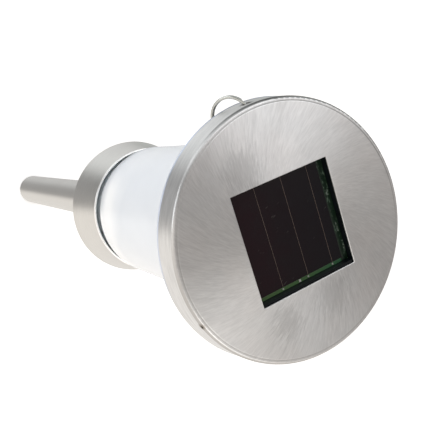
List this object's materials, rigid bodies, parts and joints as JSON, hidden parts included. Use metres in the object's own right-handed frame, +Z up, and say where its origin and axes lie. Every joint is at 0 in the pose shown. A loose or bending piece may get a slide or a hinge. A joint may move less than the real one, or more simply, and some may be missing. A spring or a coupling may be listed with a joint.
{
  "type": "solar fence light",
  "caption": "Solar fence light: a domed-edge steel cap with a square panel window and hanging ring over a flared opal glass, held in a tapered collar on a plain pole tube.",
  "frame": {"origin": "centre of the open lower end of the pole tube", "axes": "+Z runs up the tube to the cap face, +Y points to the side of the cap that carries the ring, +X along the lower edge of the square window"},
  "size_m": [0.1216, 0.1265, 0.493],
  "materials": {
    "brushed_tube": "brushed along the tube",
    "brushed_collar": "brushed round the axis",
    "brushed_cap": "fine swirl brushing",
    "turned_steel": "turned",
    "wire_steel": "drawn wire",
    "zinc_screws": "zinc plated",
    "opal_glass": "frosted white",
    "black_rubber": "soft",
    "black_foam": "closed cell foam",
    "black_plastic": "moulded",
    "green_board": "solder resist",
    "cell_film": "dark amorphous film",
    "line_print": "printed",
    "solder": "bright solder",
    "bulb_resin": "clear resin",
    "bright_reflector": "polished",
    "battery_sleeve": "shrink sleeve",
    "spring_plate": "nickel plated",
    "lead_sheath": "soft sheath",
    "white_plastic": "moulded"
  },
  "bodies": {
    "post": {"pole_tube": "brushed_tube", "pole_plug": "turned_steel", "collar_cup": "brushed_collar", "glass_pad": "black_rubber", "diffuser": "opal_glass", "clamp_washer": "turned_steel", "clamp_bolt": "zinc_screws"},
    "head": {"cap_shell": "brushed_cap", "cap_pillars": "turned_steel", "foam_gasket": "black_foam", "panel_tray": "black_plastic", "panel_board": "green_board", "solar_cells": "cell_film", "cell_lines": "line_print", "solder_pads": "solder", "head_housing": "black_plastic", "rim_seal": "black_rubber", "housing_screws": "zinc_screws", "control_board": "green_board", "board_screws": "zinc_screws", "led_bulb": "bulb_resin", "reflector": "bright_reflector", "battery": "battery_sleeve", "contact_plates": "spring_plate", "panel_leads": "lead_sheath", "switch_body": "turned_steel", "hinge_pin": "turned_steel"},
    "switch": {"switch_knob": "white_plastic"},
    "door": {"battery_door": "black_plastic"},
    "ring": {"hanging_ring": "wire_steel"}
  },
  "joints": [
    {"name": "head_lift", "type": "slide", "parent": "post", "child": "head", "axis": [0, 0, 1], "range_m": [0, 0.06]},
    {"name": "ring_swing", "type": "hinge", "parent": "head", "child": "ring", "pos_m": [-0.0023, 0.0598, 0.4865], "axis": [-0.8706, -0.0334, 0.4909], "range_deg": [-59, 0]},
    {"name": "switch_slide", "type": "slide", "parent": "head", "child": "switch", "axis": [1, 0, 0], "range_m": [0, 0.0034]},
    {"name": "door_swing", "type": "hinge", "parent": "head", "child": "door", "pos_m": [0, -0.0262, 0.4641], "axis": [-1, 0, 0], "range_deg": [0, 90]}
  ]
}
